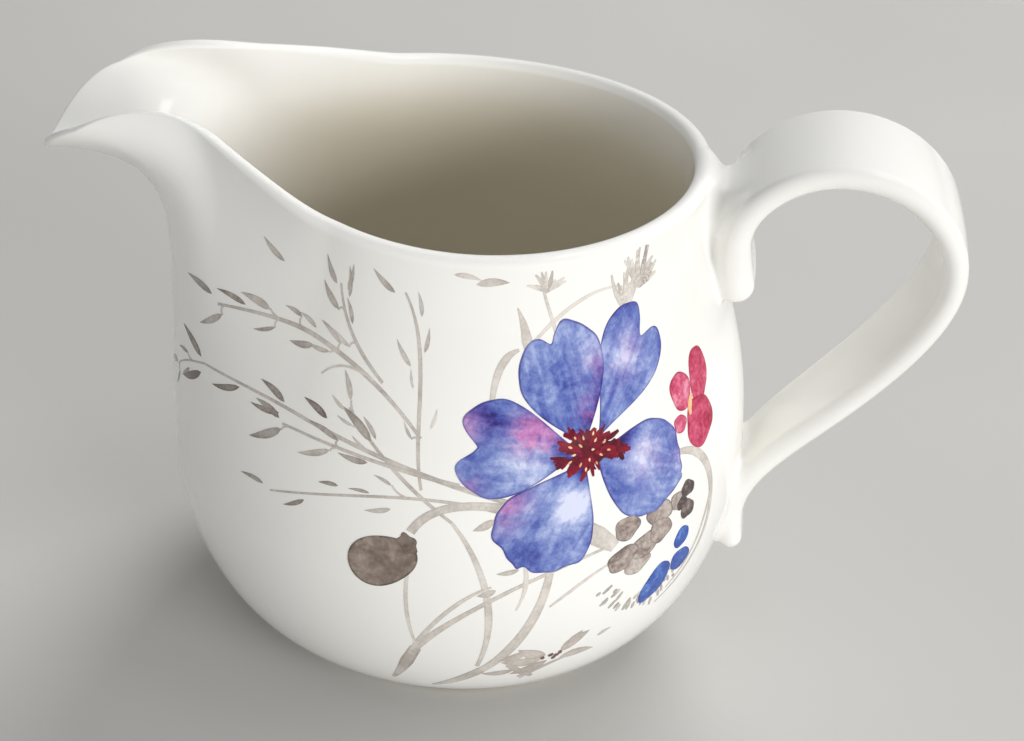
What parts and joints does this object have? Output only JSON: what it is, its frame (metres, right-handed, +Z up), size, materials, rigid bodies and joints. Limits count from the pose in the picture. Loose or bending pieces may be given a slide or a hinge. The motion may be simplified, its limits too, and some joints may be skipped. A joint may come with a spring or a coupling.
{
  "type": "porcelain cream jug",
  "caption": "Small round-bellied porcelain cream jug with a beak spout, a broad ribbon handle with curled tails, a turned foot ring and printed flower decoration.",
  "frame": {"origin": "centre of the foot ring on the surface that the jug stands on", "axes": "+Z up, +X towards the handle, -X towards the spout, -Y towards the decorated side"},
  "size_m": [0.1268, 0.0821, 0.08],
  "materials": {
    "white_glaze": "high-gloss clear glaze over warm white porcelain",
    "bare_biscuit": "ground unglazed porcelain, matt",
    "blue_ink": "in-glaze transfer print, blue and violet wash",
    "brown_ink": "in-glaze transfer print, brown wash",
    "sand_ink": "in-glaze transfer print, fine sand-grey strokes",
    "red_ink": "in-glaze transfer print, raspberry red wash"
  },
  "bodies": {
    "root": {"vessel_body": "white_glaze", "foot_ring": "bare_biscuit", "handle_strap": "white_glaze", "upper_handle_slip": "white_glaze", "lower_handle_slip": "white_glaze", "flower_transfer": "blue_ink", "pod_transfer": "brown_ink", "grass_transfer": "sand_ink", "red_blossom_transfer": "red_ink", "blue_bud_transfer": "blue_ink", "seed_blossom_transfer": "brown_ink", "base_sprig_transfer": "sand_ink"}
  },
  "joints": []
}
